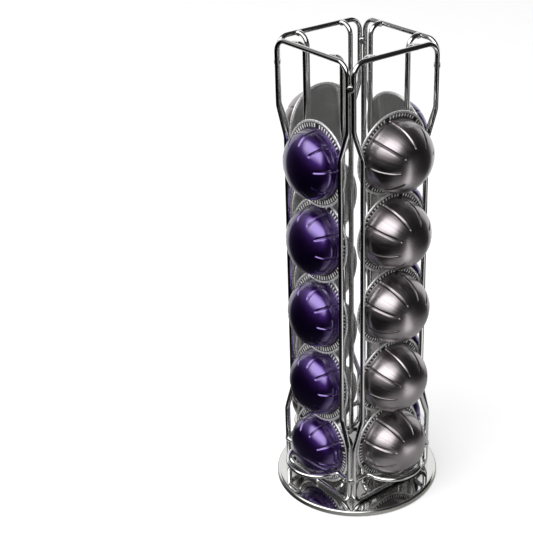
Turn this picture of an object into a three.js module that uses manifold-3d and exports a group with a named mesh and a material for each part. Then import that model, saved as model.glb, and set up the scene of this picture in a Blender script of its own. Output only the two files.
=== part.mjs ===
// Rotating wire tower for domed coffee capsules.
// Four channels of bent chrome wire stand back to back on a round polished disc.
// Each channel holds five capsules, one above the other, with the domes facing out.
// Millimetres, +Z up, origin at the middle of the underside of the rubber pads.
// Channel 1 faces -Y, channel 2 faces +X, channel 3 faces +Y and channel 4 faces -X.

import * as THREE from 'three';
import { mergeVertices } from 'three/addons/utils/BufferGeometryUtils.js';
import Module from 'manifold-3d';

const wasm = await Module();
wasm.setup();

// Clearances
const fitGap = 0.3;
const pairGap = 0.35;

// Wire
const wireRadius = 1.8;
const wireSides = 8;
const cornerSteps = 3;
const kinkSteps = 2;

// Face frames, measured to the wire's centre line
const channelCount = 4;
const faceOffset = 39.9;
const headRoom = 71;
const topCornerRadius = 9;
const footCornerRadius = 8;
const throatInset = 8;
const upperKinkDrop = 46.9;
const upperKinkLength = 21.1;
const lowerKinkTop = 78.5;
const lowerKinkFoot = 56.3;
const kinkRadius = 12;
const weldBeadRadius = 2.15;
const weldBeadLength = 3.2;
const weldSeam = 0.2;

// Back rails, two to a channel
const channelDepth = 10.4;
const railHalf = 19.5;
const hookRadius = 7.4;

// Front stop hoops
const hoopHeight = 27.3;
const hoopShoulderInset = 10.1;
const hoopShoulderRadius = 3.6;
const hoopInset = 14.3;
const hoopSetOut = 1.4;
const hoopRoom = 7.1;
const hoopSteps = 12;

// Saddles of weld metal that tie each pair of legs together
const tieLength = 6.4;
const tieReach = 2.4;
const tieHalfHeight = 2.8;
const tieRoot = 0.85;
const tieSides = 12;
const upperTieDrop = 16.5;
const lowerTieHeight = 27;

// Polished disc
const discRadius = 63.2;
const discTop = 5;
const discEdgeRound = 2;
const discPlateThickness = 1.4;
const discWall = 1.4;
const discSkirtFoot = 0.8;
const discSegments = 48;

// Hidden turntable under the disc
const padRadius = 7;
const padThickness = 0.8;
const padInset = 12;
const padCount = 4;
const footPlateInset = 3.8;
const footPlateThickness = 0.9;
const footPlateBore = 3.5;
const glideInset = 16;
const glideWidth = 8;
const rivetShankRadius = 3;
const rivetHeadRadius = 6.5;
const rivetHeadThickness = 0.5;
const turntableSegments = 32;

// Capsules
const capsulesPerChannel = 5;
const flangeRadius = 31;
const flangeHalfThickness = 0.75;
const flangeEdgeBevel = 0.6;
const flangeFaceDrop = 0.3;
const flangeLipWidth = 1.5;
const collarRadius = 26.3;
const collarTop = 3.1;
const collarStep = 0.6;
const capsuleSegments = 18;
const domeRings = 4;

// The two sizes of capsule. Leans and set-backs go from the lowest capsule up.
// Leans are in degrees, positive with the flange's head outward.
const smallCapsule = {
  domeRadius: 24.2,
  domeStart: 4.6,
  domeDepth: 19.5,
  domePower: 2.3,
  seatSetBacks: [4.2, 4.3, 4.3, 4.3, 3.4],
  seatRise: 12.5,
  nestDrop: 1.8,
  stackRoom: 1.1,
  leans: [-2.2, -7, -7, -6.8, -2.6],
};
const largeCapsule = {
  domeRadius: 25.6,
  domeStart: 4.6,
  domeDepth: 29,
  domePower: 2.2,
  seatSetBacks: [3.9, 3.9, 3.9, 3.8, 3.3],
  seatRise: 20,
  nestDrop: 1.1,
  stackRoom: 1.4,
  leans: [-1, 5.5, 3.5, 4.5, 6],
};
const channelLoads = [smallCapsule, largeCapsule, smallCapsule, largeCapsule];
// Extra rise of each capsule over the one below, where a channel's domes nest less deeply
const channelRises = [0, 0, 1.15, 0];

// Height of a capsule's middle. The lowest one rests on the hoop.
// Each one above it stands with its flange's edge just over the next collar.
// The lowest one leans less, so the second nests a little deeper on it.
function capsuleHeight(kind, level) {
  const lowest = hoopHeight + kind.seatRise;
  if (level === 0) return lowest;
  const pitch = flangeRadius + collarRadius + kind.stackRoom;
  return lowest + level * pitch - kind.nestDrop;
}

// Heights and places that follow from the dimensions above
const legSpacing = 2 * wireRadius + pairGap;
const legHalf = faceOffset - legSpacing / Math.SQRT2;
const throatHalf = legHalf - throatInset;
const tieRoom = wireRadius + fitGap;
const railOffset = faceOffset - channelDepth;
const topBarHeight = capsuleHeight(largeCapsule, capsulesPerChannel - 1) + headRoom;
const upperKinkTop = topBarHeight - upperKinkDrop;
const upperKinkFoot = upperKinkTop - upperKinkLength;
const upperTieHeight = topBarHeight - upperTieDrop;
const hoopReach = faceOffset - smallCapsule.seatSetBacks[0] + smallCapsule.domeDepth + hoopRoom;
const footBarHeight = discTop + fitGap + wireRadius;
const footPlateRadius = discRadius - discWall - footPlateInset;
const padCircleRadius = footPlateRadius - padInset;
const glideOuter = footPlateRadius - glideInset;
const glideInner = glideOuter - glideWidth;
const footPlateFoot = padThickness + fitGap;
const footPlateTop = footPlateFoot + footPlateThickness;
const discPlateFoot = discTop - discPlateThickness;

// Materials
function finish(colour, roughness, metalness) {
  return () => new THREE.MeshStandardMaterial({ color: colour, roughness, metalness });
}
const chromeWire = finish(0xc9cbc9, 0.12, 1);
const weldedChrome = finish(0xbfc1c0, 0.2, 1);
const polishedDisc = finish(0xb9bab6, 0.08, 1);
const violetAluminium = finish(0x3d2670, 0.32, 1);
const gunmetalAluminium = finish(0x6a6468, 0.34, 1);
const zincSteel = finish(0x9a9c9c, 0.4, 1);
const blackAcetal = finish(0x1d1d1f, 0.5, 0);
const blackRubber = finish(0x161617, 0.85, 0);

// A wire bent in one plane: it hands its own bend points to the extrusion.
// Each ring is widened at a bend so that the wire keeps its thickness round the corner.
class BentWire extends THREE.Curve {
  constructor(points, across, along, square) {
    super();
    this.points = points;
    this.across = across;
    this.along = along;
    this.square = square;
  }

  place(point) {
    const at = this.across.clone().multiplyScalar(point.x);
    return at.addScaledVector(this.along, point.y);
  }

  getSpacedPoints() {
    return this.points.map((point) => this.place(point));
  }

  computeFrenetFrames() {
    const last = this.points.length - 1;
    const normals = [];
    const binormals = [];
    const tangents = [];
    this.points.forEach((point, i) => {
      const before = this.points[Math.max(i - 1, 0)];
      const after = this.points[Math.min(i + 1, last)];
      const comingIn = point.clone().sub(before);
      const goingOut = after.clone().sub(point);
      if (i === 0) comingIn.copy(goingOut);
      if (i === last) goingOut.copy(comingIn);
      comingIn.normalize();
      goingOut.normalize();
      const heading = comingIn.clone().add(goingOut).normalize();
      const widening = 1 / heading.dot(comingIn);
      const side = new THREE.Vector2(-heading.y, heading.x).multiplyScalar(widening);
      tangents.push(this.place(heading));
      normals.push(this.place(side));
      binormals.push(this.square.clone());
    });
    return { tangents, normals, binormals };
  }
}

// Rounds the corners of an open outline with arcs of the given radii
function roundCorners(corners) {
  const path = [];
  corners.forEach((corner, i) => {
    const here = new THREE.Vector2(corner.x, corner.y);
    if (!corner.radius) {
      path.push(here);
      return;
    }
    const back = new THREE.Vector2(corners[i - 1].x, corners[i - 1].y).sub(here).normalize();
    const on = new THREE.Vector2(corners[i + 1].x, corners[i + 1].y).sub(here).normalize();
    const halfOpening = Math.acos(THREE.MathUtils.clamp(back.dot(on), -1, 1)) / 2;
    const setBack = corner.radius / Math.tan(halfOpening);
    const toCentre = corner.radius / Math.sin(halfOpening);
    const centre = back.clone().add(on).normalize().multiplyScalar(toCentre).add(here);
    const start = back.clone().multiplyScalar(setBack).add(here).sub(centre);
    const end = on.clone().multiplyScalar(setBack).add(here).sub(centre);
    const turn = Math.atan2(start.cross(end), start.dot(end));
    for (let step = 0; step <= corner.steps; step += 1) {
      const spoke = start.clone().rotateAround(new THREE.Vector2(), (turn * step) / corner.steps);
      path.push(spoke.add(centre));
    }
  });
  return path;
}

// Sweeps the round wire section along a path in the plane of the two given directions
function sweepWire(path, across, along) {
  const square = new THREE.Vector3().crossVectors(across, along);
  const section = new THREE.Shape();
  section.absarc(0, 0, wireRadius, Math.PI / wireSides, Math.PI / wireSides + Math.PI * 2, false);
  const wire = new BentWire(path, across, along, square);
  return new THREE.ExtrudeGeometry(section, {
    extrudePath: wire,
    steps: path.length - 1,
    curveSegments: wireSides / 2,
    bevelEnabled: false,
  });
}

// Solids for joining, and back again
function toSolid(geometry) {
  const bare = geometry.clone();
  bare.deleteAttribute('normal');
  bare.deleteAttribute('uv');
  const merged = mergeVertices(bare);
  return new wasm.Manifold(new wasm.Mesh({
    numProp: 3,
    vertProperties: new Float32Array(merged.attributes.position.array),
    triVerts: new Uint32Array(merged.index.array),
  }));
}

function toGeometry(solid) {
  const mesh = solid.getMesh();
  const geometry = new THREE.BufferGeometry();
  geometry.setAttribute('position', new THREE.BufferAttribute(mesh.vertProperties, 3));
  geometry.setIndex(new THREE.BufferAttribute(mesh.triVerts, 1));
  geometry.computeVertexNormals();
  return geometry;
}

const outward = new THREE.Vector3(1, 0, 0);
const sideways = new THREE.Vector3(0, 1, 0);
const upward = new THREE.Vector3(0, 0, 1);

function named(name, geometry, material) {
  const mesh = new THREE.Mesh(geometry, material());
  mesh.name = name;
  return mesh;
}

// Face frame: one length of wire, bent to a closed loop and butt-welded under the foot bar.
// The legs stand wide at the head and the foot, so a flange passes between them there.
// Between the two kinks they stand closer than a flange is wide and keep the capsules in.
function faceFrameGeometry() {
  const bend = (x, y, radius, steps) => ({ x, y, radius, steps });
  const right = [
    bend(legHalf, footBarHeight, footCornerRadius, cornerSteps),
    bend(legHalf, lowerKinkFoot, kinkRadius, kinkSteps),
    bend(throatHalf, lowerKinkTop, kinkRadius, kinkSteps),
    bend(throatHalf, upperKinkFoot, kinkRadius, kinkSteps),
    bend(legHalf, upperKinkTop, kinkRadius, kinkSteps),
    bend(legHalf, topBarHeight, topCornerRadius, cornerSteps),
  ];
  const left = right.map((corner) => ({ ...corner, x: -corner.x })).reverse();
  const seam = { x: weldSeam / 2, y: footBarHeight };
  const path = roundCorners([seam, ...right, ...left, { ...seam, x: -seam.x }]);
  const loop = sweepWire(path, sideways, upward);
  const bead = new THREE.CylinderGeometry(weldBeadRadius, weldBeadRadius, weldBeadLength, wireSides);
  bead.translate(0, 0, footBarHeight + weldBeadRadius - wireRadius);
  return toGeometry(toSolid(loop).add(toSolid(bead)));
}

// Back rail: an upright wire behind the flanges, bent forward at both ends to meet the bars
function backRailGeometry() {
  const butt = faceOffset - wireRadius - fitGap;
  const path = roundCorners([
    { x: butt, y: footBarHeight },
    { x: railOffset, y: footBarHeight, radius: hookRadius, steps: cornerSteps },
    { x: railOffset, y: topBarHeight, radius: hookRadius, steps: cornerSteps },
    { x: butt, y: topBarHeight },
  ]);
  return sweepWire(path, outward, upward);
}

// Front stop hoop: two shoulders between the legs and a bow that cradles the lowest dome
function hoopGeometry() {
  const butt = legHalf - wireRadius - fitGap;
  const bowStart = faceOffset + hoopSetOut;
  const bowDepth = hoopReach - bowStart;
  const bowHalf = legHalf - hoopInset;
  const firstAngle = Math.asin((hoopShoulderRadius - hoopSetOut) / bowDepth);
  const bow = [];
  for (let step = 0; step <= hoopSteps; step += 1) {
    const angle = firstAngle + ((Math.PI - 2 * firstAngle) * step) / hoopSteps;
    bow.push({ x: bowStart + bowDepth * Math.sin(angle), y: bowHalf * Math.cos(angle) });
  }
  const shoulder = { x: faceOffset, y: legHalf - hoopShoulderInset - hoopShoulderRadius };
  const path = roundCorners([
    { x: faceOffset, y: butt },
    { ...shoulder, radius: hoopShoulderRadius, steps: cornerSteps },
    ...bow,
    { ...shoulder, y: -shoulder.y, radius: hoopShoulderRadius, steps: cornerSteps },
    { x: faceOffset, y: -butt },
  ]);
  const geometry = sweepWire(path, outward, sideways);
  geometry.translate(0, 0, hoopHeight);
  return geometry;
}

// Tie: a saddle of weld metal over the outside of a pair of legs, running down between them
function tieGeometry() {
  const lump = new THREE.CylinderGeometry(1, 1, tieLength, tieSides);
  lump.scale(tieReach, 1, tieHalfHeight);
  const inside = new THREE.BoxGeometry(2 * tieReach, 2 * tieLength, 3 * tieHalfHeight);
  inside.translate(tieRoot - tieReach, 0, 0);
  let saddle = toSolid(lump).subtract(toSolid(inside));
  for (const sign of [-1, 1]) {
    const room = new THREE.CylinderGeometry(tieRoom, tieRoom, 3 * tieHalfHeight, 2 * wireSides);
    room.rotateX(Math.PI / 2);
    room.translate(0, (sign * legSpacing) / 2, 0);
    saddle = saddle.subtract(toSolid(room));
  }
  return toGeometry(saddle);
}

// Capsule: foil lid at the back, thin flange, short collar and a rounded dome
function capsuleGeometry(kind) {
  const half = flangeHalfThickness;
  const profile = [
    [0, -half],
    [flangeRadius - flangeEdgeBevel, -half],
    [flangeRadius, 0],
    [flangeRadius - flangeEdgeBevel, half],
    [flangeRadius - flangeLipWidth, half - flangeFaceDrop],
    [collarRadius, half - flangeFaceDrop],
    [collarRadius, collarTop],
    [kind.domeRadius, collarTop + collarStep],
  ];
  for (let ring = 0; ring < domeRings; ring += 1) {
    const angle = (Math.PI / 2) * (ring / domeRings);
    const radius = kind.domeRadius * Math.cos(angle) ** (2 / kind.domePower);
    const rise = (kind.domeDepth - kind.domeStart) * Math.sin(angle) ** (2 / kind.domePower);
    profile.push([radius, kind.domeStart + rise]);
  }
  profile.push([0, kind.domeDepth]);
  const outline = profile.map(([radius, height]) => new THREE.Vector2(radius, height));
  return new THREE.LatheGeometry(outline, capsuleSegments);
}

// Rings and discs turned from a closed or axis-to-axis profile, standing upright
function turned(profile, segments) {
  const outline = profile.map(([radius, height]) => new THREE.Vector2(radius, height));
  const geometry = new THREE.LatheGeometry(outline, segments);
  geometry.rotateX(Math.PI / 2);
  return geometry;
}

// Polished disc: a shallow pressed cap with a rounded edge and a skirt
function discGeometry() {
  const profile = [
    [0, discPlateFoot],
    [discRadius - discWall, discPlateFoot],
    [discRadius - discWall, discSkirtFoot],
    [discRadius, discSkirtFoot],
  ];
  const edgeSteps = 4;
  for (let step = 0; step <= edgeSteps; step += 1) {
    const angle = (Math.PI / 2) * (step / edgeSteps);
    profile.push([
      discRadius - discEdgeRound + discEdgeRound * Math.cos(angle),
      discTop - discEdgeRound + discEdgeRound * Math.sin(angle),
    ]);
  }
  profile.push([0, discTop]);
  return turned(profile, discSegments);
}

function ringGeometry(inner, outer, foot, head, segments) {
  const profile = [[inner, foot], [outer, foot], [outer, head], [inner, head], [inner, foot]];
  return turned(profile, segments);
}

// Rivet: its shank turns in the foot plate and its wide head carries the plate when lifted
function rivetGeometry() {
  const headTop = footPlateFoot - fitGap;
  return turned([
    [0, headTop - rivetHeadThickness],
    [rivetHeadRadius, headTop - rivetHeadThickness],
    [rivetHeadRadius, headTop],
    [rivetShankRadius, headTop],
    [rivetShankRadius, discPlateFoot - fitGap],
    [0, discPlateFoot - fitGap],
  ], turntableSegments);
}

function padGeometry() {
  const profile = [[0, 0], [padRadius, 0], [padRadius, padThickness], [0, padThickness]];
  return turned(profile, turntableSegments / 2);
}

const tower = new THREE.Group();

// Turntable
const plate = ringGeometry(footPlateBore, footPlateRadius, footPlateFoot, footPlateTop, turntableSegments);
tower.add(named('foot_plate', plate, zincSteel));
const glideFoot = footPlateTop + fitGap;
const glide = ringGeometry(glideInner, glideOuter, glideFoot, discPlateFoot - fitGap, turntableSegments);
tower.add(named('glide_ring', glide, blackAcetal));
for (let i = 0; i < padCount; i += 1) {
  const pad = named(`foot_pad_${i + 1}`, padGeometry(), blackRubber);
  const angle = (2 * Math.PI * (i + 1 / 2)) / padCount;
  pad.position.set(padCircleRadius * Math.cos(angle), padCircleRadius * Math.sin(angle), 0);
  tower.add(pad);
}
tower.add(named('pivot_rivet', rivetGeometry(), zincSteel));
tower.add(named('base_disc', discGeometry(), polishedDisc));

// Channels, each built facing +X and turned into its place
for (let channel = 0; channel < channelCount; channel += 1) {
  const side = new THREE.Group();
  side.rotation.z = ((channel - 1) * 2 * Math.PI) / channelCount;
  const frame = named(`face_frame_${channel + 1}`, faceFrameGeometry(), chromeWire);
  frame.position.x = faceOffset;
  side.add(frame);
  for (const [label, sign] of [['a', -1], ['b', 1]]) {
    const rail = named(`back_rail_${channel + 1}${label}`, backRailGeometry(), chromeWire);
    rail.position.y = sign * railHalf;
    side.add(rail);
  }
  side.add(named(`stop_hoop_${channel + 1}`, hoopGeometry(), chromeWire));

  // The ties sit on the corner between this channel and the next
  const corner = new THREE.Group();
  corner.rotation.z = Math.PI / channelCount;
  const pairRadius = (faceOffset + legHalf) / Math.SQRT2;
  for (const [label, height] of [['upper', upperTieHeight], ['lower', lowerTieHeight]]) {
    const tie = named(`${label}_tie_${channel + 1}`, tieGeometry(), weldedChrome);
    tie.position.set(pairRadius, 0, height);
    corner.add(tie);
  }
  side.add(corner);

  // Capsules lean against the legs and shingle, each flange overlapping the next
  const kind = channelLoads[channel];
  const material = kind === smallCapsule ? violetAluminium : gunmetalAluminium;
  for (let level = 0; level < capsulesPerChannel; level += 1) {
    const capsule = named(`capsule_${channel + 1}_${level + 1}`, capsuleGeometry(kind), material);
    const tilt = THREE.MathUtils.degToRad(kind.leans[level]);
    const lean = new THREE.Quaternion().setFromAxisAngle(sideways, tilt);
    const face = new THREE.Quaternion().setFromAxisAngle(upward, -Math.PI / 2);
    capsule.quaternion.copy(lean.multiply(face));
    const height = capsuleHeight(kind, level) + level * channelRises[channel];
    capsule.position.set(faceOffset - kind.seatSetBacks[level], 0, height);
    side.add(capsule);
  }
  tower.add(side);
}

export default tower;
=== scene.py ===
"""Rotating wire tower for domed coffee capsules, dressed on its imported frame.

Metres, +Z up, origin at the middle of the underside of the rubber pads.
Channel 1 faces -Y, channel 2 faces +X, channel 3 faces +Y and channel 4 faces -X.
"""

import math
import random

import bmesh
import bpy
from mathutils import Matrix, Vector


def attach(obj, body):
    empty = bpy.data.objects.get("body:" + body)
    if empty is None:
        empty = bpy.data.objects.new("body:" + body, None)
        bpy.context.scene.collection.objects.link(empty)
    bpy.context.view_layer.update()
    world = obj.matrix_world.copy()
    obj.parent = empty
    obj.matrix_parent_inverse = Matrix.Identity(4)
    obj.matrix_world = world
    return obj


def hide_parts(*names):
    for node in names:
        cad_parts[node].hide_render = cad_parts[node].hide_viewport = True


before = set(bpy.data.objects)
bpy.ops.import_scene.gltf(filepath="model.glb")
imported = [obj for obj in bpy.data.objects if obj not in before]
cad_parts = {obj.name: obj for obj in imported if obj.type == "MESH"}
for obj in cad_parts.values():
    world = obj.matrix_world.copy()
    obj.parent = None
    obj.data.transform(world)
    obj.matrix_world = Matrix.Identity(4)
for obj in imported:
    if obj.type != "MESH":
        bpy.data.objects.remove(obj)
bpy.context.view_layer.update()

MM = 0.001
OUTWARD = Vector((1, 0, 0))
SIDEWAYS = Vector((0, 1, 0))
UPWARD = Vector((0, 0, 1))
SAME_PLACE = 1e-7
ON_AXIS = 1e-6

# Wire
WIRE = 1.8 * MM
WIRE_SIDES = 20
PAIR_GAP = 0.35 * MM
FACE = 39.9 * MM
LEG = FACE - (2 * WIRE + PAIR_GAP) / math.sqrt(2)
THROAT = LEG - 8 * MM
FOOT_BAR = 7.1 * MM
TOP_BAR = 352.0 * MM
TOP_CORNER = 9 * MM
FOOT_CORNER = 8 * MM
UPPER_KINK_TOP = TOP_BAR - 46.9 * MM
UPPER_KINK_FOOT = UPPER_KINK_TOP - 21.1 * MM
LOWER_KINK_TOP = 78.5 * MM
LOWER_KINK_FOOT = 56.3 * MM
KINK = 12 * MM
CORNER_STEPS = 10
KINK_STEPS = 5

# Welds at the ends of rails and hoops, and the butt weld of each foot bar
WELD_SINK = 1.0 * MM
END_SWELL = 0.42
END_SWELL_REACH = 1.1 * MM
END_RINGS = 6
END_RING_STEP = 0.45 * MM
BUTT_SWELL = 0.2
BUTT_SWELL_REACH = 1.3 * MM
BUTT_RINGS = (0.15, 0.5, 0.9, 1.3, 1.8, 2.6)

# Back rails
RAIL = FACE - 10.4 * MM
RAIL_HALF = 19.5 * MM
HOOK = 7.4 * MM

# Stop hoops
HOOP_HEIGHT = 27.3 * MM
HOOP_SHOULDER = LEG - 10.1 * MM
HOOP_SHOULDER_ROUND = 3.6 * MM
HOOP_HALF = LEG - 14.3 * MM
HOOP_START = FACE + 1.4 * MM
HOOP_REACH = 62.3 * MM
HOOP_STEPS = 40

# Ties
TIE_LENGTH = 6.4 * MM
TIE_REACH = 2.4 * MM
TIE_HALF_HEIGHT = 2.8 * MM
TIE_FULLNESS = 3
TIE_UNEVENNESS = 0.03
UPPER_TIE = TOP_BAR - 16.5 * MM
LOWER_TIE = 27 * MM

# Disc
DISC = 63.2 * MM
DISC_TOP = 5 * MM
DISC_EDGE = 2 * MM
DISC_EDGE_STEPS = 12
DISC_WALL = 1.4 * MM
DISC_LIP = 0.25 * MM
DISC_LIP_ROUND = 0.3
DISC_PLATE_FOOT = 3.6 * MM
DISC_SKIRT_FOOT = 0.8 * MM
DISC_RINGS = (15, 30, 45, 54, 58, 60.2)
DISC_INNER_CORNER = ((0, 0.6), (0.2, 0.15), (0.6, 0))
DISC_SECTIONS = 160
# Painted shade: the middle of the disc's top is coloured darker, for the shade under the rack
PAINTED_SHADE_OUT = 57 * MM
PAINTED_SHADE_FADE = 6 * MM
RIM_START = 0.15 * MM
RIM_FULL = 1.1 * MM

# Capsules
CAPSULES = 5
CHANNELS = 4
FRONT_CHANNELS = 2
FLANGE = 31 * MM
FLANGE_FACE = 0.42 * MM
COLLAR = 26.3 * MM
DOME_RINGS = 54
SHOULDER = ((0.25, 4.2), (0.6, 3.6), (0.85, 2.9), (1.0, 2.0), (1.0, 1.1))
SHOULDER_FOOT = ((0.1, 0.2), (0.3, 0))
RIM_BEAD = 0.74 * MM
RIM_BEAD_STEPS = 10
RIM_BEAD_START = 150
RIM_BEAD_TURN = 240
RIM_CLEAR = 0.2 * MM
BACK_TURN = 20
TURN_SEED = 11
STREAK_RISE = (0.15, 0.5)
EDGE_POWER = 2.2

# Pressed grooves
GROOVES = 9
GROOVE_SECTIONS = 20
GROOVE_DEPTH = 0.66 * MM
GROOVE_HALF = 0.85 * MM
GROOVE_FOOT = 1.2 * MM
GROOVE_ROUND = 1.2
GROOVE_GATHER = 1.9

# Ticked bands
BAND_CLEAR = 0.35 * MM
BAND_OUTER = 29.4 * MM
BAND_OUTER_CLEAR = 0.1 * MM
BAND_FOOT = 0.4 * MM
BAND_FACE = 0.52 * MM
BAND_EDGE = 0.06 * MM
BAND_SECTIONS = 180
TICK_PLACES = 64
TICK_HALF_WIDTHS = (0.13, 0.27)
TICK_ENDS = (0.14, 0.86)
TICKS_MISSING = 0.1
TICK_SEEDS = (0.5, 407.5)

# Foil lids
LID_SECTIONS = 90
LID_PROFILE = (
    (0, -0.60), (8, -0.60), (16, -0.61), (22, -0.63), (25.2, -0.66), (25.6, -0.7), (25.9, -0.74),
    (26.4, -0.75), (28.6, -0.75), (29.1, -0.72), (29.3, -0.64), (29.3, -0.38), (0, -0.38),
)

# Two kinds of capsule, which channel holds which, and how much higher each one stands there
SMALL = {
    "dome": 24.2 * MM, "start": 4.6 * MM, "depth": 19.5 * MM, "power": 2.3,
    "set_backs": (4.2, 4.3, 4.3, 4.3, 3.4), "lowest": HOOP_HEIGHT + 12.5 * MM,
    "nest": 1.8 * MM, "room": 1.1 * MM, "leans": (-2.2, -7, -7, -6.8, -2.6),
    "groove_end": 16.9 * MM, "side": 24.95 * MM, "turns": (19, 7.3, 14, 20.7, 3),
}
LARGE = {
    "dome": 25.6 * MM, "start": 4.6 * MM, "depth": 29.0 * MM, "power": 2.2,
    "set_backs": (3.9, 3.9, 3.9, 3.8, 3.3), "lowest": HOOP_HEIGHT + 20 * MM,
    "nest": 1.1 * MM, "room": 1.4 * MM, "leans": (-1, 5.5, 3.5, 4.5, 6),
    "groove_end": 15.1 * MM, "side": 25.9 * MM, "turns": (11.5, -14.5, 13, 16.8, -13.2),
}
LOADS = (SMALL, LARGE, SMALL, LARGE)
RISES = (0, 0, 1.15 * MM, 0)


# Patterns

COLOUR_SOCKETS = slice(6, 8)
COLOUR_RESULT = 2


def finish(name, colour, roughness, metallic=1.0):
    """A new material with its colour, roughness and metal set on the shader."""
    material = bpy.data.materials.new(name)
    material.use_nodes = True
    shader = material.node_tree.nodes["Principled BSDF"]
    shader.inputs["Base Color"].default_value = (*colour, 1)
    shader.inputs["Roughness"].default_value = roughness
    shader.inputs["Metallic"].default_value = metallic
    return material, material.node_tree, shader


def plug_in(tree, socket, value):
    """Feeds a socket with another node's output, or sets it to a value."""
    if isinstance(value, bpy.types.NodeSocket):
        tree.links.new(value, socket)
    else:
        socket.default_value = value


def lay(tree, kind, **sockets):
    """Adds a node. Sockets take a value or another node's output."""
    node = tree.nodes.new(kind)
    for name, value in sockets.items():
        plug_in(tree, node.inputs[name.replace("_", " ")], value)
    return node


def place_on(tree, source):
    """A place on the object, or on the piece's own map."""
    return tree.nodes.new("ShaderNodeTexCoord").outputs[source]


def axes_of(tree, source):
    """The three parts of a place."""
    return lay(tree, "ShaderNodeSeparateXYZ", Vector=place_on(tree, source)).outputs


def grain(tree, scale, detail, stretch=(1, 1, 1), source="Object", rough=0.5):
    """Fine uneven pattern, drawn out along one direction where stretch says so."""
    mapping = lay(tree, "ShaderNodeMapping", Vector=place_on(tree, source), Scale=stretch)
    noise = lay(tree, "ShaderNodeTexNoise", Vector=mapping.outputs["Vector"], Scale=scale,
                Detail=detail, Roughness=rough)
    return noise.outputs["Fac"]


def spread(tree, value, low, high, start=0.3, end=0.7):
    """Maps a pattern between start and end onto a range of values."""
    node = lay(tree, "ShaderNodeMapRange", Value=value, From_Min=start, From_Max=end,
               To_Min=low, To_Max=high)
    return node.outputs["Result"]


def rises(tree, value, start, end):
    """From 0 at the start to 1 at the end."""
    return spread(tree, value, 0, 1, start, end)


def falls(tree, value, start, end):
    """From 1 at the start to 0 at the end."""
    return spread(tree, value, 1, 0, start, end)


def combine(tree, operation, first, second=0.0):
    """One step of arithmetic on patterns."""
    node = tree.nodes.new("ShaderNodeMath")
    node.operation = operation
    plug_in(tree, node.inputs[0], first)
    plug_in(tree, node.inputs[1], second)
    return node.outputs["Value"]


def product(tree, first, *others):
    """Patterns multiplied together."""
    for other in others:
        first = combine(tree, "MULTIPLY", first, other)
    return first


def distance(tree, first, second):
    """How far away a place is, from its offsets along two axes."""
    squares = [combine(tree, "POWER", offset, 2.0) for offset in (first, second)]
    return combine(tree, "SQRT", combine(tree, "ADD", *squares))


def blend_colours(tree, factor, first, second):
    """Two colours mixed by a pattern."""
    node = tree.nodes.new("ShaderNodeMix")
    node.data_type = "RGBA"
    plug_in(tree, node.inputs["Factor"], factor)
    for socket, colour in zip(node.inputs[COLOUR_SOCKETS], (first, second)):
        plug_in(tree, socket, (*colour, 1) if isinstance(colour, tuple) else colour)
    return node.outputs[COLOUR_RESULT]


def tint(tree, shader, factor, first, second):
    """Colours a finish from the first colour to the second by a pattern."""
    tree.links.new(blend_colours(tree, factor, first, second), shader.inputs["Base Color"])


def roughen(tree, shader, *patterns):
    """Sets a finish's roughness from one pattern or the sum of two."""
    rough = patterns[0] if len(patterns) == 1 else combine(tree, "ADD", *patterns)
    tree.links.new(rough, shader.inputs["Roughness"])


def relief(tree, shader, height, strength, depth):
    """Fine surface relief on a finish."""
    bump = lay(tree, "ShaderNodeBump", Height=height, Strength=strength, Distance=depth)
    tree.links.new(bump.outputs["Normal"], shader.inputs["Normal"])


# Finishes

def chrome_wire_finish():
    """Bright chrome over drawn wire, with faint haze and handling marks."""
    material, tree, shader = finish("chrome_wire", colour=(0.74, 0.74, 0.73), roughness=0.08)
    haze = grain(tree, scale=55, detail=4)
    marks = grain(tree, scale=900, detail=3, stretch=(1, 1, 0.12))
    clear, hazed = (0.77, 0.77, 0.765), (0.68, 0.685, 0.68)
    tint(tree, shader, spread(tree, haze, low=0, high=1), clear, hazed)
    roughen(tree, shader, spread(tree, haze, low=0.045, high=0.1), spread(tree, marks, low=0, high=0.04))
    relief(tree, shader, marks, strength=0.06, depth=0.03 * MM)
    return material


def welded_chrome_finish():
    """Chrome over a weld: duller and slightly pitted."""
    material, tree, shader = finish("welded_chrome", colour=(0.62, 0.61, 0.6), roughness=0.22)
    pits = grain(tree, scale=1400, detail=4)
    stain = grain(tree, scale=300, detail=2)
    clear, stained = (0.66, 0.65, 0.64), (0.42, 0.41, 0.4)
    tint(tree, shader, spread(tree, stain, low=0, high=1), clear, stained)
    roughen(tree, shader, spread(tree, pits, low=0.14, high=0.34))
    relief(tree, shader, pits, strength=0.3, depth=0.08 * MM)
    return material


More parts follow.
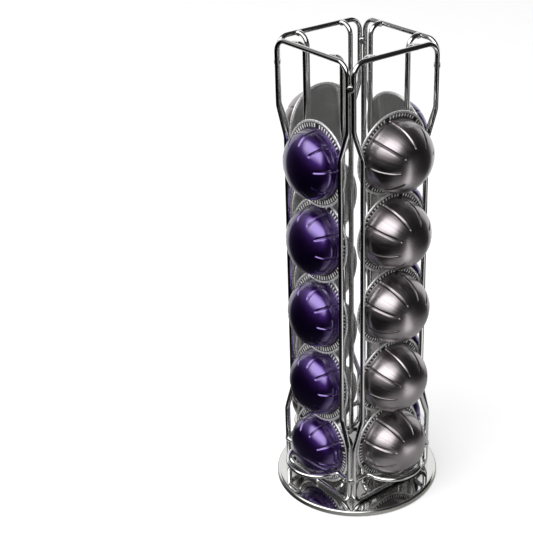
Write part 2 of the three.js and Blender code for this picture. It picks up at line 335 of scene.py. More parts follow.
def polished_disc_finish():
    """Mirror polish on the disc's top, with painted shade darkening its middle, going over to a brushed
    satin rim.
    """
    material, tree, shader = finish("polished_disc", colour=(0.72, 0.72, 0.71), roughness=0.06)
    x, y, z = axes_of(tree, "Object")
    rim = falls(tree, z, DISC_TOP - RIM_FULL, DISC_TOP - RIM_START)
    scuffs = grain(tree, scale=260, detail=5, stretch=(1, 0.16, 1))
    swirls = grain(tree, scale=420, detail=5, stretch=(0.2, 1, 1))
    brushed = grain(tree, scale=2600, detail=2, stretch=(0.05, 0.05, 1))
    dust = grain(tree, scale=60, detail=3)
    top_rough = combine(tree, "ADD", spread(tree, dust, low=0.02, high=0.05),
                        spread(tree, scuffs, low=0, high=0.03, start=0.45, end=0.75))
    rim_rough = spread(tree, brushed, low=0.24, high=0.4)
    mixed = lay(tree, "ShaderNodeMix", Factor=rim, A=top_rough, B=rim_rough)
    roughen(tree, shader, mixed.outputs[0])
    # Painted shade: the top's colour darkens towards the middle, standing in for the shade under the rack
    painted_shade, clear, satin = (0.34, 0.335, 0.33), (0.72, 0.72, 0.71), (0.62, 0.61, 0.57)
    outward = rises(tree, distance(tree, x, y), PAINTED_SHADE_OUT - PAINTED_SHADE_FADE, PAINTED_SHADE_OUT)
    tint(tree, shader, rim, blend_colours(tree, outward, painted_shade, clear), satin)
    height = combine(tree, "ADD", product(tree, swirls, 0.3), product(tree, brushed, rim))
    relief(tree, shader, height, strength=0.12, depth=0.02 * MM)
    return material


def lacquered_finish(name, deep, bright, edge, rough, streaks, coat_rough, coat_ior):
    """Coloured lacquer over drawn aluminium. Fine streaks run from flange to crown and fade there."""
    material, tree, shader = finish(name, deep, roughness=0.3)
    out = axes_of(tree, "UV")["Y"]
    lines = combine(tree, "SUBTRACT", grain(tree, scale=60, detail=4, stretch=(3.2, 0.04, 1),
                                            source="UV", rough=0.7), 0.5)
    drawn = combine(tree, "ADD", product(tree, lines, rises(tree, out, *STREAK_RISE)), 0.5)
    cloud = grain(tree, scale=70, detail=3)
    fine = grain(tree, scale=2400, detail=2)
    tone = combine(tree, "ADD", spread(tree, drawn, low=0, high=streaks),
                   spread(tree, cloud, low=0, high=1 - streaks))
    facing = lay(tree, "ShaderNodeLayerWeight", Blend=0.5).outputs["Facing"]
    slanted = combine(tree, "POWER", facing, EDGE_POWER)
    tint(tree, shader, slanted, blend_colours(tree, tone, deep, bright), edge)
    roughen(tree, shader, spread(tree, drawn, *rough), spread(tree, fine, low=0, high=0.03))
    shader.inputs["Coat Weight"].default_value = 1.0
    shader.inputs["Coat Roughness"].default_value = coat_rough
    shader.inputs["Coat IOR"].default_value = coat_ior
    height = combine(tree, "ADD", product(tree, drawn, 0.6), product(tree, fine, 0.4))
    relief(tree, shader, height, strength=0.1, depth=0.04 * MM)
    return material


def foil_finish():
    """Satin aluminium foil with soft creases and faint rolling lines."""
    material, tree, shader = finish("foil", colour=(0.74, 0.74, 0.73), roughness=0.24, metallic=0.94)
    rolled = grain(tree, scale=1500, detail=3, stretch=(1, 1, 0.06))
    creases = grain(tree, scale=70, detail=3)
    light, dark = (0.8, 0.8, 0.79), (0.66, 0.66, 0.655)
    tint(tree, shader, spread(tree, creases, low=0, high=1), light, dark)
    roughen(tree, shader, spread(tree, rolled, low=0.2, high=0.26))
    height = combine(tree, "ADD", creases, product(tree, rolled, 0.04))
    relief(tree, shader, height, strength=0.2, depth=0.3 * MM)
    return material


def rim_finish():
    """Bare aluminium of the curled rim."""
    material, tree, shader = finish("curled_rim", colour=(0.86, 0.855, 0.85), roughness=0.28,
                                    metallic=0.66)
    fine = grain(tree, scale=1600, detail=3)
    wear = grain(tree, scale=140, detail=3)
    clean, worn = (0.92, 0.915, 0.91), (0.8, 0.795, 0.79)
    tint(tree, shader, spread(tree, wear, low=0, high=1), clean, worn)
    roughen(tree, shader, spread(tree, fine, low=0.2, high=0.36))
    relief(tree, shader, fine, strength=0.12, depth=0.05 * MM)
    return material


def ticked_finish():
    """Dark print on the flange with plain ticks of one length left bare, on the band's own map."""
    material, tree, shader = finish("ticked_band", colour=(0.03, 0.03, 0.03), roughness=0.4)
    parts = axes_of(tree, "UV")
    place_round = product(tree, parts["X"], TICK_PLACES)
    number = combine(tree, "FLOOR", place_round)
    draws = []
    for seed in TICK_SEEDS:
        draw = tree.nodes.new("ShaderNodeTexWhiteNoise")
        draw.noise_dimensions = "1D"
        tree.links.new(combine(tree, "ADD", number, seed), draw.inputs["W"])
        draws.append(draw.outputs["Value"])
    from_middle = combine(tree, "SUBTRACT", combine(tree, "FRACT", place_round), 0.5)
    aside = combine(tree, "ABSOLUTE", from_middle)
    half_width = spread(tree, draws[0], *TICK_HALF_WIDTHS, start=0, end=1)
    bare = product(tree, combine(tree, "LESS_THAN", aside, half_width),
                   combine(tree, "GREATER_THAN", parts["Y"], TICK_ENDS[0]),
                   combine(tree, "LESS_THAN", parts["Y"], TICK_ENDS[1]),
                   combine(tree, "GREATER_THAN", draws[1], TICKS_MISSING))
    fade = grain(tree, scale=700, detail=3)
    ink, metal = (0.012, 0.011, 0.012), (0.95, 0.94, 0.93)
    tint(tree, shader, product(tree, bare, spread(tree, fade, low=0.7, high=1)), ink, metal)
    roughen(tree, shader, spread(tree, fade, low=0.28, high=0.45))
    tree.links.new(product(tree, bare, 0.3), shader.inputs["Metallic"])
    relief(tree, shader, combine(tree, "SUBTRACT", fade, bare), strength=0.25, depth=0.06 * MM)
    return material


def zinc_finish():
    """Zinc plating with its crystal flecks."""
    material, tree, shader = finish("zinc_steel", colour=(0.5, 0.51, 0.52), roughness=0.42)
    flecks = lay(tree, "ShaderNodeTexVoronoi", Vector=place_on(tree, "Object"), Scale=220)
    fine = grain(tree, scale=900, detail=3)
    light, dark = (0.56, 0.57, 0.58), (0.4, 0.41, 0.43)
    tint(tree, shader, flecks.outputs["Distance"], light, dark)
    roughen(tree, shader, spread(tree, fine, low=0.32, high=0.5))
    relief(tree, shader, fine, strength=0.15, depth=0.06 * MM)
    return material


def moulded_finish(name, colour, worn, rough, scale, depth):
    """Moulded plastic or rubber with a fine even texture and rubbed patches."""
    material, tree, shader = finish(name, colour, roughness=rough[0], metallic=0.0)
    fine = grain(tree, scale, detail=3)
    rubbed = grain(tree, scale=90, detail=3)
    tint(tree, shader, spread(tree, rubbed, low=0, high=1), colour, worn)
    roughen(tree, shader, spread(tree, fine, *rough))
    relief(tree, shader, fine, strength=0.3, depth=depth)
    return material


CHROME = chrome_wire_finish()
WELD = welded_chrome_finish()
POLISHED = polished_disc_finish()
VIOLET = lacquered_finish("violet_lacquer", deep=(0.068, 0.021, 0.195), bright=(0.088, 0.027, 0.255),
                          edge=(0.026, 0.01, 0.05), rough=(0.34, 0.4), streaks=0.35,
                          coat_rough=0.13, coat_ior=1.8)
GUNMETAL = lacquered_finish("gunmetal_lacquer", deep=(0.17, 0.137, 0.152), bright=(0.48, 0.44, 0.455),
                            edge=(0.13, 0.108, 0.118), rough=(0.27, 0.4), streaks=0.75,
                            coat_rough=0.2, coat_ior=1.75)
FOIL = foil_finish()
RIM = rim_finish()
TICKS = ticked_finish()
ZINC = zinc_finish()
ACETAL = moulded_finish("black_acetal", (0.014, 0.014, 0.015), worn=(0.035, 0.035, 0.036),
                        rough=(0.4, 0.55), scale=700, depth=0.05 * MM)
RUBBER = moulded_finish("black_rubber", (0.02, 0.02, 0.02), worn=(0.05, 0.05, 0.048),
                        rough=(0.75, 0.92), scale=1100, depth=0.1 * MM)


# Making and placing pieces

def finished(bm, name, materials, body, node=None, crease=40):
    """Closes off a modelled piece, gives it its finish and lets it ride on its body."""
    bmesh.ops.remove_doubles(bm, verts=bm.verts, dist=SAME_PLACE)
    bmesh.ops.recalc_face_normals(bm, faces=bm.faces)
    for face in bm.faces:
        face.smooth = True
    mesh = bpy.data.meshes.new(name)
    bm.to_mesh(mesh)
    bm.free()
    mesh.set_sharp_from_angle(angle=math.radians(crease))
    for material in materials:
        mesh.materials.append(material)
    piece = bpy.data.objects.new(name, mesh)
    bpy.context.scene.collection.objects.link(piece)
    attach(piece, body)
    if node:
        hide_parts(node)


def channel_turn(channel):
    """From a channel built facing +X to its own place. Channels count from 1."""
    return Matrix.Rotation(math.radians(90 * (channel - 2)), 4, "Z")


def rounded(corners):
    """An outline in a plane whose corners (x, y, radius, steps) are bent to arcs."""
    path = []
    for i, corner in enumerate(corners):
        here = Vector(corner[:2])
        if len(corner) < 4:
            path.append(here)
            continue
        back = (Vector(corners[i - 1][:2]) - here).normalized()
        on = (Vector(corners[i + 1][:2]) - here).normalized()
        radius, steps = corner[2:]
        half = math.acos(max(-1, min(1, back.dot(on)))) / 2
        centre = here + (back + on).normalized() * radius / math.sin(half)
        start = here + back * radius / math.tan(half) - centre
        end = here + on * radius / math.tan(half) - centre
        turn = math.atan2(start.x * end.y - start.y * end.x, start.dot(end))
        for step in range(steps + 1):
            path.append(centre + Matrix.Rotation(turn * step / steps, 2) @ start)
    return path


def ring_places(path, across, along, closed, swell):
    """Where each ring of a wire stands: square to the path, swollen where a weld is."""
    square = across.cross(along)
    count = len(path)
    lengths = [0.0]
    for i in range(1, count):
        lengths.append(lengths[-1] + (path[i] - path[i - 1]).length)
    places = []
    for i, point in enumerate(path):
        before = path[i - 1] if i or closed else path[0]
        after = path[(i + 1) % count] if i < count - 1 or closed else path[-1]
        course = Vector((0, 0))
        if (point - before).length:
            course += (point - before).normalized()
        if (after - point).length:
            course += (after - point).normalized()
        course.normalize()
        forward = across * course.x + along * course.y
        side = square.cross(forward)
        at = across * point.x + along * point.y
        size = 1 + swell(lengths[i], lengths[-1])
        turn = Matrix((side, square, forward)).transposed().to_4x4()
        places.append(Matrix.Translation(at) @ turn @ Matrix.Scale(size, 4))
    return places


def bent_wire(path, across, along, swell, closed=False):
    """A round wire drawn along a path, ring by ring."""
    bm = bmesh.new()
    places = ring_places(path, across, along, closed, swell)
    bmesh.ops.create_circle(bm, segments=WIRE_SIDES, radius=WIRE, matrix=places[0])
    edges = first_edges = list(bm.edges)
    for before, place in zip(places, places[1:]):
        grown = bmesh.ops.extrude_edge_only(bm, edges=edges)["geom"]
        verts = [item for item in grown if isinstance(item, bmesh.types.BMVert)]
        edges = [item for item in grown if isinstance(item, bmesh.types.BMEdge)
                 and all(vert in verts for vert in item.verts)]
        bmesh.ops.transform(bm, matrix=place @ before.inverted(), verts=verts)
    if closed:
        bmesh.ops.bridge_loops(bm, edges=first_edges + edges)
    else:
        bmesh.ops.contextual_create(bm, geom=first_edges)
        bmesh.ops.contextual_create(bm, geom=edges)
    return bm


def end_welds(at, whole):
    """How much a wire swells where its two ends are welded on."""
    near = min(at, whole - at) - WELD_SINK
    return END_SWELL * math.exp(-(max(near, 0) / END_SWELL_REACH) ** 2)


def butt_weld(at, whole):
    """How much a closed wire swells where its two ends are welded together."""
    return BUTT_SWELL * math.exp(-(min(at, whole - at) / BUTT_SWELL_REACH) ** 2)


def spaced(path):
    """Adds rings along the straight stretches at both ends, so a weld can swell there."""
    def stretch(start, end, counts):
        """Points on the way from one end towards the next corner."""
        run = (end - start).length
        return [start.lerp(end, k * END_RING_STEP / run) for k in counts if k * END_RING_STEP < run]

    return [path[0], *stretch(path[0], path[1], range(1, END_RINGS + 1)), *path[1:-1],
            *stretch(path[-1], path[-2], range(END_RINGS, 0, -1)), path[-1]]


def place_wire(bm, name, channel, shift):
    """Moves a wire to its place in a channel facing +X and turns it to its own."""
    bmesh.ops.translate(bm, verts=bm.verts, vec=shift)
    bmesh.ops.transform(bm, matrix=channel_turn(channel), verts=bm.verts)
    finished(bm, f"{name}_wire", [CHROME], "rack", name)


# Rack

def face_frame(channel):
    """One closed loop of wire: wide head, kinked legs, narrow throat and a butt-welded foot bar."""
    right = [
        (LEG, FOOT_BAR, FOOT_CORNER, CORNER_STEPS),
        (LEG, LOWER_KINK_FOOT, KINK, KINK_STEPS),
        (THROAT, LOWER_KINK_TOP, KINK, KINK_STEPS),
        (THROAT, UPPER_KINK_FOOT, KINK, KINK_STEPS),
        (LEG, UPPER_KINK_TOP, KINK, KINK_STEPS),
        (LEG, TOP_BAR, TOP_CORNER, CORNER_STEPS),
    ]
    left = [(-x, *rest) for x, *rest in reversed(right)]
    weld = [(offset * MM, FOOT_BAR) for offset in BUTT_RINGS]
    path = rounded([*weld, *right, *left, *[(-x, y) for x, y in reversed(weld)]])
    bm = bent_wire(path, SIDEWAYS, UPWARD, butt_weld, closed=True)
    place_wire(bm, f"face_frame_{channel}", channel, (FACE, 0, 0))


def back_rail(channel, label, sign):
    """An upright wire behind the flanges. Its hooked ends are welded to the top and foot bars."""
    butt = FACE - WELD_SINK
    path = rounded([
        (butt, FOOT_BAR),
        (RAIL, FOOT_BAR, HOOK, CORNER_STEPS),
        (RAIL, TOP_BAR, HOOK, CORNER_STEPS),
        (butt, TOP_BAR),
    ])
    bm = bent_wire(spaced(path), OUTWARD, UPWARD, end_welds)
    for vert in bm.verts:
        vert.co.z = min(vert.co.z, TOP_BAR + WIRE)
    place_wire(bm, f"back_rail_{channel}{label}", channel, (0, sign * RAIL_HALF, 0))


def stop_hoop(channel):
    """The bowed wire that cradles the lowest dome, welded between the legs."""
    depth = HOOP_REACH - HOOP_START
    first = math.asin((FACE + HOOP_SHOULDER_ROUND - HOOP_START) / depth)
    bow = []
    for step in range(HOOP_STEPS + 1):
        angle = first + (math.pi - 2 * first) * step / HOOP_STEPS
        bow.append((HOOP_START + depth * math.sin(angle), HOOP_HALF * math.cos(angle)))
    shoulder = HOOP_SHOULDER - HOOP_SHOULDER_ROUND
    butt = LEG - WELD_SINK
    path = rounded([
        (FACE, butt),
        (FACE, shoulder, HOOP_SHOULDER_ROUND, CORNER_STEPS),
        *bow,
        (FACE, -shoulder, HOOP_SHOULDER_ROUND, CORNER_STEPS),
        (FACE, -butt),
    ])
    bm = bent_wire(spaced(path), OUTWARD, SIDEWAYS, end_welds)
    place_wire(bm, f"stop_hoop_{channel}", channel, (0, 0, HOOP_HEIGHT))


def tie(channel, label, height):
    """A flattened, slightly uneven lump of weld metal over the outside of a pair of legs."""
    bm = bmesh.new()
    bmesh.ops.create_uvsphere(bm, u_segments=40, v_segments=24, radius=1,
                              matrix=Matrix.Rotation(math.pi / 2, 4, "Y"))
    for vert in bm.verts:
        off = math.hypot(vert.co.y, vert.co.z)
        vert.co.x = math.copysign((1 - min(off, 1) ** TIE_FULLNESS) ** (1 / TIE_FULLNESS), vert.co.x)
        ripple = math.sin(7 * vert.co.y) + 0.6 * math.sin(8 * vert.co.z + 3 * vert.co.y)
        vert.co.x *= 1 - TIE_UNEVENNESS * (1 + ripple / 1.6)
    bmesh.ops.scale(bm, vec=(TIE_REACH, TIE_LENGTH / 2, TIE_HALF_HEIGHT), verts=bm.verts)
    pair = (FACE + LEG) / math.sqrt(2)
    place = Matrix.Rotation(math.pi / 4, 4, "Z") @ Matrix.Translation((pair, 0, height))
    bmesh.ops.transform(bm, matrix=channel_turn(channel) @ place, verts=bm.verts)
    name = f"{label}_tie_{channel}"
    finished(bm, f"{name}_weld", [WELD], "rack", name, 60)


def spun(profile, sections):
    """A solid turned about Z from points (radius, height)."""
    bm = bmesh.new()
    verts = [bm.verts.new((radius, 0, height)) for radius, height in profile]
    edges = [bm.edges.new(pair) for pair in zip(verts, verts[1:])]
    if profile[0][0] or profile[-1][0]:
        edges.append(bm.edges.new((verts[-1], verts[0])))
    bmesh.ops.spin(bm, geom=verts + edges, cent=(0, 0, 0), axis=UPWARD, dvec=(0, 0, 0),
                   angle=2 * math.pi, steps=sections, use_merge=True)
    bmesh.ops.remove_doubles(bm, verts=bm.verts, dist=SAME_PLACE)
    return bm


def base_disc():
    """Pressed steel cap: flat polished top, rounded edge and a skirt with a turned-in lip."""
    profile = [(0, DISC_TOP)]
    for radius in DISC_RINGS:
        profile.append((radius * MM, DISC_TOP))
    for step in range(DISC_EDGE_STEPS + 1):
        angle = math.pi / 2 * (1 - step / DISC_EDGE_STEPS)
        profile.append((DISC - DISC_EDGE + DISC_EDGE * math.cos(angle),
                        DISC_TOP - DISC_EDGE + DISC_EDGE * math.sin(angle)))
    inner = DISC - DISC_WALL
    profile += [
        (DISC, DISC_SKIRT_FOOT + DISC_LIP),
        (DISC - DISC_LIP * DISC_LIP_ROUND, DISC_SKIRT_FOOT + DISC_LIP * DISC_LIP_ROUND),
        (DISC - DISC_LIP, DISC_SKIRT_FOOT),
        (inner + DISC_LIP, DISC_SKIRT_FOOT),
        (inner, DISC_SKIRT_FOOT + DISC_LIP),
    ]
    for inward, down in DISC_INNER_CORNER:
        profile.append((inner - inward * MM, DISC_PLATE_FOOT - down * MM))
    profile.append((0, DISC_PLATE_FOOT))
    bm = spun(profile, DISC_SECTIONS)
    finished(bm, "base_disc_cap", [POLISHED], "rack", "base_disc", 50)


# Capsules

def shell_profile(kind):
    """Outline of a capsule's shell: dome, shoulder, flange and curled rim."""
    profile = []
    bulge = 2 / kind["power"]
    rise = kind["depth"] - kind["start"]
    for ring in range(DOME_RINGS + 1):
        angle = math.pi / 2 * (1 - ring / DOME_RINGS)
        radius = kind["dome"] * math.cos(angle) ** bulge if ring else 0.0
        profile.append((radius, kind["start"] + rise * math.sin(angle) ** bulge))
    for share, height in SHOULDER:
        profile.append((kind["dome"] + (kind["side"] - kind["dome"]) * share, height * MM))
    for out, up in SHOULDER_FOOT:
        profile.append((kind["side"] + out * MM, FLANGE_FACE + up * MM))
    profile.append((BAND_OUTER, FLANGE_FACE))
    for step in range(RIM_BEAD_STEPS + 1):
        angle = math.radians(RIM_BEAD_START - RIM_BEAD_TURN * step / RIM_BEAD_STEPS)
        profile.append((FLANGE - RIM_BEAD + RIM_BEAD * math.cos(angle), RIM_BEAD * math.sin(angle)))
    profile.append((BAND_OUTER, -FLANGE_FACE))
    profile.append((0, -FLANGE_FACE))
    return profile


def press_grooves(bm, kind):
    """Gathers the sections towards the grooves, then presses the grooves in."""
    share = 2 * math.pi / GROOVES
    for vert in bm.verts:
        radius = math.hypot(vert.co.x, vert.co.y)
        if radius < ON_AXIS:
            continue
        angle = math.atan2(vert.co.y, vert.co.x) / share
        whole = round(angle)
        offset = 2 * (angle - whole)
        angle = share * (whole + math.copysign(abs(offset) ** GROOVE_GATHER, offset) / 2)
        vert.co.x = radius * math.cos(angle)
        vert.co.y = radius * math.sin(angle)
    bmesh.ops.recalc_face_normals(bm, faces=bm.faces)
    bm.normal_update()
    for vert in bm.verts:
        radius = math.hypot(vert.co.x, vert.co.y)
        if vert.co.z < GROOVE_FOOT - GROOVE_HALF or radius < kind["groove_end"] - GROOVE_HALF:
            continue
        angle = math.atan2(vert.co.y, vert.co.x)
        aside = radius * math.sin(angle - share * round(angle / share))
        beyond = max(kind["groove_end"] - radius, GROOVE_FOOT - vert.co.z, 0)
        away = math.hypot(aside, beyond) / GROOVE_HALF
        if away < 1:
            vert.co -= vert.normal * GROOVE_DEPTH * (1 - away * away) ** GROOVE_ROUND


def map_round(bm):
    """A map that goes round the axis and out from it, for streaks and ticks."""
    layer = bm.loops.layers.uv.new("round")
    for face in bm.faces:
        middle = face.calc_center_median()
        middle_angle = math.atan2(middle.y, middle.x)
        for loop in face.loops:
            co = loop.vert.co
            radius = math.hypot(co.x, co.y)
            angle = math.atan2(co.y, co.x) if radius > ON_AXIS else middle_angle
            angle = middle_angle + (angle - middle_angle + math.pi) % (2 * math.pi) - math.pi
            loop[layer].uv = (angle / (2 * math.pi) + 0.5, radius / FLANGE)


def map_band(bm, inner, outer):
    """The same map for the ticked band, from its inner edge at 0 to its outer edge at 1."""
    map_round(bm)
    layer = bm.loops.layers.uv["round"]
    for face in bm.faces:
        for loop in face.loops:
            radius = math.hypot(loop.vert.co.x, loop.vert.co.y)
            loop[layer].uv.y = (radius - inner) / (outer - inner)


def shell_template(kind):
    """A lacquered shell with its grooves. Flange rim and underside are its second finish."""
    bm = spun(shell_profile(kind), GROOVES * GROOVE_SECTIONS)
    press_grooves(bm, kind)
    map_round(bm)
    for face in bm.faces:
        middle = face.calc_center_median()
        if math.hypot(middle.x, middle.y) > kind["side"] + RIM_CLEAR or middle.z < 0:
            face.material_index = 1
    return bm


def band_template(kind):
    """The thin printed band on the flange, with softened edges."""
    inner = kind["side"] + BAND_CLEAR
    outer = BAND_OUTER - BAND_OUTER_CLEAR
    bm = spun([(inner, BAND_FOOT), (inner, BAND_FACE - BAND_EDGE), (inner + BAND_EDGE, BAND_FACE),
               (outer - BAND_EDGE, BAND_FACE), (outer, BAND_FACE - BAND_EDGE), (outer, BAND_FOOT)],
              BAND_SECTIONS)
    map_band(bm, inner, outer)
    return bm


def lid_template():
    """Foil lid with a sealed edge, a shallow step and a slightly drawn-in middle."""
    return spun([(radius * MM, height * MM) for radius, height in LID_PROFILE], LID_SECTIONS)


def capsule_place(channel, level, turn):
    """Where a capsule stands: turned about its own axis, leaned, seated and put in its channel."""
    kind = LOADS[channel - 1]
    lean = math.radians(kind["leans"][level])
    pitch = FLANGE + COLLAR + kind["room"] + RISES[channel - 1]
    height = kind["lowest"] + level * pitch - (kind["nest"] if level else 0)
    seat = FACE - kind["set_backs"][level] * MM
    facing = Matrix(((0, 0, 1, 0), (0, -1, 0, 0), (1, 0, 0, 0), (0, 0, 0, 1)))
    return (channel_turn(channel) @ Matrix.Translation((seat, 0, height))
            @ Matrix.Rotation(lean, 4, "Y") @ facing @ Matrix.Rotation(math.radians(-turn), 4, "Z"))


def capsule(channel, level, templates, turn):
    """One capsule: lacquered shell with its rim, ticked band and foil lid."""
    small = LOADS[channel - 1] is SMALL
    lacquer, slot = (VIOLET, "violet_aluminium") if small else (GUNMETAL, "gunmetal_aluminium")
    name = f"capsule_{channel}_{level + 1}"
    body = f"top_capsule_{channel}" if level == CAPSULES - 1 else "rack"
    place = capsule_place(channel, level, turn)
    shell, band, lid = templates
    for label, template, materials, node in (("shell", shell, [lacquer, RIM], name),
                                             ("ticks", band, [TICKS], None), ("lid", lid, [FOIL], None)):
        bm = template.copy()
        bmesh.ops.transform(bm, matrix=place, verts=bm.verts)
        finished(bm, f"{name}_{label}", materials, body, node, 50)


def fill_channels():
    """Five capsules to a channel. Those in the two front channels are turned as photographed."""
    lid = lid_template()
    templates = [(shell_template(kind), band_template(kind), lid) for kind in (SMALL, LARGE)]
    chance = random.Random(TURN_SEED)
    for channel in range(1, CHANNELS + 1):
        kind = LOADS[channel - 1]
        for level in range(CAPSULES):
            turn = kind["turns"][level]
            if channel > FRONT_CHANNELS:
                turn = chance.uniform(-BACK_TURN, BACK_TURN)
            capsule(channel, level, templates[0 if kind is SMALL else 1], turn)


def dress_turntable():
    """The hidden turntable keeps its solids and gets its finishes."""
    for material, names in ((ZINC, ("foot_plate", "pivot_rivet")), (ACETAL, ("glide_ring",)),
                            (RUBBER, ("foot_pad_1", "foot_pad_2", "foot_pad_3", "foot_pad_4"))):
        for name in names:
            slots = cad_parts[name].data.materials
            slots.clear()
            slots.append(material)


for channel in range(1, CHANNELS + 1):
    face_frame(channel)
    back_rail(channel, "a", -1)
    back_rail(channel, "b", 1)
    stop_hoop(channel)
    tie(channel, "upper", UPPER_TIE)
    tie(channel, "lower", LOWER_TIE)
base_disc()
fill_channels()
dress_turntable()


# Studio walls, as the chrome and lacquer mirror them

WHITE_LEVEL = 1.0
PLAIN_LEVEL = 0.55
WALL_LEVEL = 0.014
CEILING_LEVEL = 0.04
CEILING_RISE = (0.5, 1)
LEAST_DEPTH = 0.001
BACK_AZIMUTH = 139.2
PANELS = (
    dict(azimuth=BACK_AZIMUTH, elevation=0, half_width=1.55, half_height=0.8, level=1.0, soft=0.06),
    dict(azimuth=-80, elevation=45, half_width=0.8, half_height=0.42, level=3.4, soft=0.2),
    dict(azimuth=-150, elevation=38, half_width=0.4, half_height=0.4, level=0.35, soft=0.3),
)

# Floor around the foot, as the metal mirrors it: painted light, glowing pools and strips seen only in
# reflections
FLOOR_HALF = 3.0
FLOOR_GLOW = 0.5
WEDGE_SHIFT = 0.02
WEDGE_OPENING = 1.6
WEDGE_EDGE = (-0.02, 0.03)
WEDGE_LEVELS = (0.04, 1.0)
WEDGE_RISE = (0.08, 0.42)
NEAR_SIDE = 0.06
NEAR_LEVELS = (1.0, 0.04)
NEAR_FALL = (0.1, 0.36)
NEAR_AZIMUTH = 40
NEAR_SHARES = (0.03, 0.5)
NEAR_RISE = (-0.02, 0.1)
STRIP_AZIMUTH = 4.0
STRIP_SHIFT = 0.05
STRIP_EDGE = (0.025, 0.075)
STRIP_RISE = (0.12, 0.2)
STRIP_LEVEL = 1.8
LEFT_SIDES = (-0.1, -0.08, -0.07, -0.05)
LEFT_ENDS = (-0.01, 0.02, 0.06, 0.1)
LEFT_LEVEL = 0.75
FRONT_AZIMUTH = -28
FRONT_REACH = 0.1
FRONT_EDGE = (0.025, 0.085)
FRONT_LEVEL = 0.55

# Lamps and camera
AIM = Vector((0, 0, 0.18))
LENS = 83.84
LENS_SHIFT = -0.1696
SENSOR = 36
CAMERA_PLACE = (0.6176, -0.5331, 0.5922)
CAMERA_TILT = 63.23
CAMERA_TURN = 49.2


def heading(azimuth, elevation=0):
    """A direction from its azimuth and elevation in degrees."""
    around = math.radians(azimuth)
    up = math.radians(elevation)
    return Vector((math.cos(up) * math.cos(around), math.cos(up) * math.sin(around), math.sin(up)))


def along(tree, place, axis):
    """How far a place or a direction goes along an axis."""
    dot = tree.nodes.new("ShaderNodeVectorMath")
    dot.operation = "DOT_PRODUCT"
    tree.links.new(place, dot.inputs[0])
    dot.inputs[1].default_value = axis
    return dot.outputs["Value"]


def between(tree, value, start, full, until, end):
    """Rises from start to full and falls again from until to end."""
    return product(tree, rises(tree, value, start, full), falls(tree, value, until, end))


def ray_kinds(tree):
    """Whether the camera looks straight at a place, and whether it is mirrored or seen through glass."""
    rays = tree.nodes.new("ShaderNodeLightPath").outputs
    mirrored = combine(tree, "MAXIMUM", rays["Is Glossy Ray"], rays["Is Transmission Ray"])
    return rays["Is Camera Ray"], mirrored


def glow(tree, kind, level):
    """A white glow of a background or a surface."""
    return lay(tree, kind, Color=(1, 1, 1, 1), Strength=level).outputs[0]


def choose(tree, factor, first, second):
    """The first shader where the factor is 0 and the second where it is 1."""
    mixed = tree.nodes.new("ShaderNodeMixShader")
    for socket, value in zip(mixed.inputs, (factor, first, second)):
        tree.links.new(value, socket)
    return mixed.outputs[0]


def wall_panel(tree, direction, azimuth, elevation, half_width, half_height, level, soft):
    """A bright rectangle on the wall, square to a heading, with soft edges."""
    ahead = heading(azimuth, elevation)
    across = heading(azimuth + 90)
    depth = combine(tree, "MAXIMUM", along(tree, direction, ahead), LEAST_DEPTH)
    edges = []
    for axis, half in ((across, half_width), (ahead.cross(across), half_height)):
        off = combine(tree, "ABSOLUTE", combine(tree, "DIVIDE", along(tree, direction, axis), depth))
        edges.append(falls(tree, off, half - soft, half + soft))
    return product(tree, *edges, level)


def studio_world():
    """White to the camera, plain grey light, and a studio of light and dark walls for the chrome."""
    world = bpy.data.worlds.new("studio")
    bpy.context.scene.world = world
    world.use_nodes = True
    tree = world.node_tree
    tree.nodes.clear()
    direction = place_on(tree, "Generated")
    ceiling = spread(tree, along(tree, direction, UPWARD), 0, CEILING_LEVEL, *CEILING_RISE)
    studio = combine(tree, "ADD", WALL_LEVEL, ceiling)
    for panel in PANELS:
        studio = combine(tree, "ADD", studio, wall_panel(tree, direction, **panel))
    to_camera, mirrored = ray_kinds(tree)
    plain, gloss, white = (glow(tree, "ShaderNodeBackground", level)
                           for level in (PLAIN_LEVEL, studio, WHITE_LEVEL))
    seen = choose(tree, to_camera, choose(tree, mirrored, plain, gloss), white)
    lay(tree, "ShaderNodeOutputWorld", Surface=seen)


def floor_in_metal(tree):
    """The floor as metal mirrors it, in painted light: white far behind, grey pools and bright strips
    near the foot and dark beyond.
    """
    place = place_on(tree, "Object")
    back = combine(tree, "ADD", along(tree, place, heading(BACK_AZIMUTH)), WEDGE_SHIFT)
    side = along(tree, place, heading(BACK_AZIMUTH - 90))
    wedge = combine(tree, "SUBTRACT", product(tree, back, WEDGE_OPENING), combine(tree, "ABSOLUTE", side))
    behind = product(tree, rises(tree, wedge, *WEDGE_EDGE),
                     spread(tree, back, *WEDGE_LEVELS, *WEDGE_RISE))

    far = distance(tree, back, combine(tree, "SUBTRACT", side, NEAR_SIDE))
    near = product(tree, spread(tree, far, *NEAR_LEVELS, *NEAR_FALL),
                   spread(tree, along(tree, place, heading(NEAR_AZIMUTH)), *NEAR_SHARES, *NEAR_RISE))

    aside = combine(tree, "SUBTRACT", along(tree, place, heading(STRIP_AZIMUTH + 90)), STRIP_SHIFT)
    strip = product(tree, rises(tree, along(tree, place, heading(STRIP_AZIMUTH)), *STRIP_RISE),
                    falls(tree, combine(tree, "ABSOLUTE", aside), *STRIP_EDGE), STRIP_LEVEL)

    left = product(tree, between(tree, side, *LEFT_SIDES), between(tree, back, *LEFT_ENDS), LEFT_LEVEL)

    beyond = combine(tree, "SUBTRACT", along(tree, place, heading(FRONT_AZIMUTH)), FRONT_REACH)
    beside = along(tree, place, heading(FRONT_AZIMUTH + 90))
    front = product(tree, falls(tree, distance(tree, beyond, beside), *FRONT_EDGE), FRONT_LEVEL)

    seen = strip
    for pool in (behind, near, left, front):
        seen = combine(tree, "MAXIMUM", seen, pool)
    return seen


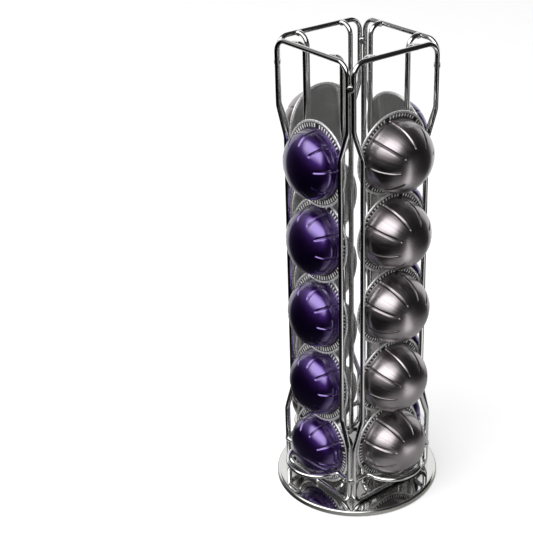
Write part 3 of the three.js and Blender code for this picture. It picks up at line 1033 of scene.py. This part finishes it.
def pale_floor():
    """A plain pale floor that looks white to the camera and keeps the shadow."""
    bm = bmesh.new()
    bmesh.ops.create_grid(bm, x_segments=1, y_segments=1, size=FLOOR_HALF)
    mesh = bpy.data.meshes.new("floor")
    bm.to_mesh(mesh)
    bm.free()
    floor = bpy.data.objects.new("floor", mesh)
    bpy.context.scene.collection.objects.link(floor)
    material, tree, shader = finish("pale_floor", colour=(0.7, 0.7, 0.7), roughness=0.9, metallic=0.0)
    shader.inputs["Specular IOR Level"].default_value = 0.0
    clean, trodden = (0.71, 0.71, 0.71), (0.69, 0.69, 0.69)
    tint(tree, shader, spread(tree, grain(tree, scale=40, detail=3), low=0, high=1), clean, trodden)
    to_camera, mirrored = ray_kinds(tree)
    lit = tree.nodes.new("ShaderNodeAddShader")
    tree.links.new(shader.outputs[0], lit.inputs[0])
    tree.links.new(glow(tree, "ShaderNodeEmission", product(tree, to_camera, FLOOR_GLOW)), lit.inputs[1])
    # Painted light: where metal mirrors the floor, the floor glows with these painted pools and strips
    in_metal = glow(tree, "ShaderNodeEmission", floor_in_metal(tree))
    seen = choose(tree, mirrored, lit.outputs[0], in_metal)
    tree.links.new(seen, tree.nodes["Material Output"].inputs["Surface"])
    mesh.materials.append(material)


def soft_light(name, azimuth, elevation, distance_off, size, power):
    """A square soft light that looks at the rack and isn't mirrored in it."""
    lamp = bpy.data.lights.new(name, "AREA")
    lamp.shape = "SQUARE"
    lamp.size = size
    lamp.energy = power
    holder = bpy.data.objects.new(name, lamp)
    away = heading(azimuth, elevation)
    holder.location = AIM + away * distance_off
    holder.rotation_euler = away.to_track_quat("Z", "Y").to_euler()
    holder.visible_glossy = False
    bpy.context.scene.collection.objects.link(holder)


def camera():
    """Stands where the photograph was taken from."""
    lens = bpy.data.cameras.new("camera")
    lens.lens = LENS
    lens.sensor_width = SENSOR
    lens.sensor_fit = "HORIZONTAL"
    lens.shift_x = LENS_SHIFT
    holder = bpy.data.objects.new("camera", lens)
    holder.location = CAMERA_PLACE
    holder.rotation_euler = (math.radians(CAMERA_TILT), 0, math.radians(CAMERA_TURN))
    bpy.context.scene.collection.objects.link(holder)
    bpy.context.scene.camera = holder


bpy.context.scene.view_settings.view_transform = "Standard"
studio_world()
pale_floor()
soft_light("key_light", azimuth=-83, elevation=43, distance_off=1.2, size=1.4, power=14)
soft_light("fill_light", azimuth=-160, elevation=30, distance_off=1.6, size=1.2, power=4)
camera()
